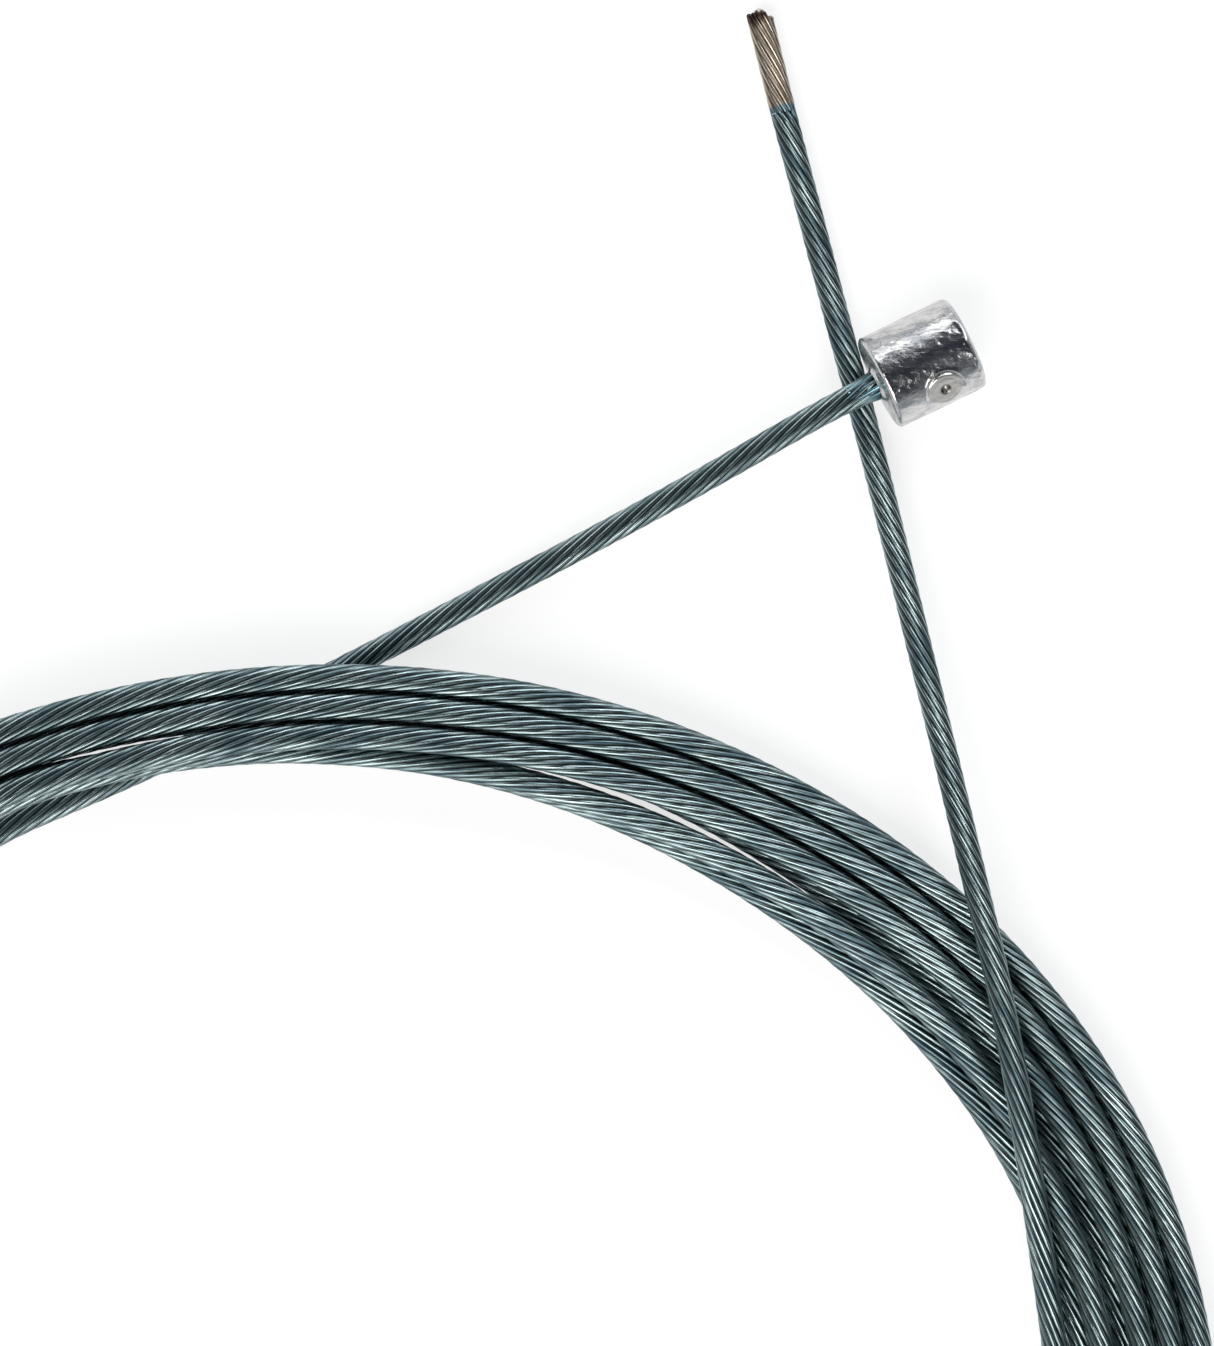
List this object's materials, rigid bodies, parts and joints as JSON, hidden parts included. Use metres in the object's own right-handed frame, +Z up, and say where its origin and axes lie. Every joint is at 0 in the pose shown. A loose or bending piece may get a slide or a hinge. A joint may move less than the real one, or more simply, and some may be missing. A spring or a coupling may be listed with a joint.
{
  "type": "gear inner cable",
  "caption": "Coiled bicycle gear inner cable: a thin stranded steel wire with a cast cylindrical nipple on one end and a fused, heat-tinted free end.",
  "frame": {"origin": "middle of the coiled cable's footprint, on the surface it lies on", "axes": "+Z up; +Y from the coil towards the free end; +X to the side the nipple points to"},
  "size_m": [0.0734, 0.1008, 0.0045],
  "materials": {
    "zinc_casting": "die-cast zinc, bright, with casting marks",
    "strand_steel": "drawn steel, blue-grey",
    "wire_steel": "drawn steel strands with a blue-grey coating",
    "burnt_steel": "heat-tinted steel, bronze to dark brown"
  },
  "bodies": {
    "root": {"nipple_casting": "zinc_casting", "nipple_core_wire": "strand_steel", "nipple_inner_wire_1": "strand_steel", "nipple_inner_wire_2": "strand_steel", "nipple_inner_wire_3": "strand_steel", "nipple_inner_wire_4": "strand_steel", "nipple_inner_wire_5": "strand_steel", "nipple_inner_wire_6": "strand_steel", "nipple_outer_wire_01": "strand_steel", "nipple_outer_wire_02": "strand_steel", "nipple_outer_wire_03": "strand_steel", "nipple_outer_wire_04": "strand_steel", "nipple_outer_wire_05": "strand_steel", "nipple_outer_wire_06": "strand_steel", "nipple_outer_wire_07": "strand_steel", "nipple_outer_wire_08": "strand_steel", "nipple_outer_wire_09": "strand_steel", "nipple_outer_wire_10": "strand_steel", "nipple_outer_wire_11": "strand_steel", "nipple_outer_wire_12": "strand_steel", "tip_bead": "burnt_steel", "tip_core_wire": "burnt_steel", "tip_inner_wire_1": "burnt_steel", "tip_inner_wire_2": "burnt_steel", "tip_inner_wire_3": "burnt_steel", "tip_inner_wire_4": "burnt_steel", "tip_inner_wire_5": "burnt_steel", "tip_inner_wire_6": "burnt_steel", "tip_outer_wire_01": "burnt_steel", "tip_outer_wire_02": "burnt_steel", "tip_outer_wire_03": "burnt_steel", "tip_outer_wire_04": "burnt_steel", "tip_outer_wire_05": "burnt_steel", "tip_outer_wire_06": "burnt_steel", "tip_outer_wire_07": "burnt_steel", "tip_outer_wire_08": "burnt_steel", "tip_outer_wire_09": "burnt_steel", "tip_outer_wire_10": "burnt_steel", "tip_outer_wire_11": "burnt_steel", "tip_outer_wire_12": "burnt_steel", "wire_coil": "wire_steel", "wire_lead": "wire_steel", "wire_tail": "wire_steel"}
  },
  "joints": []
}
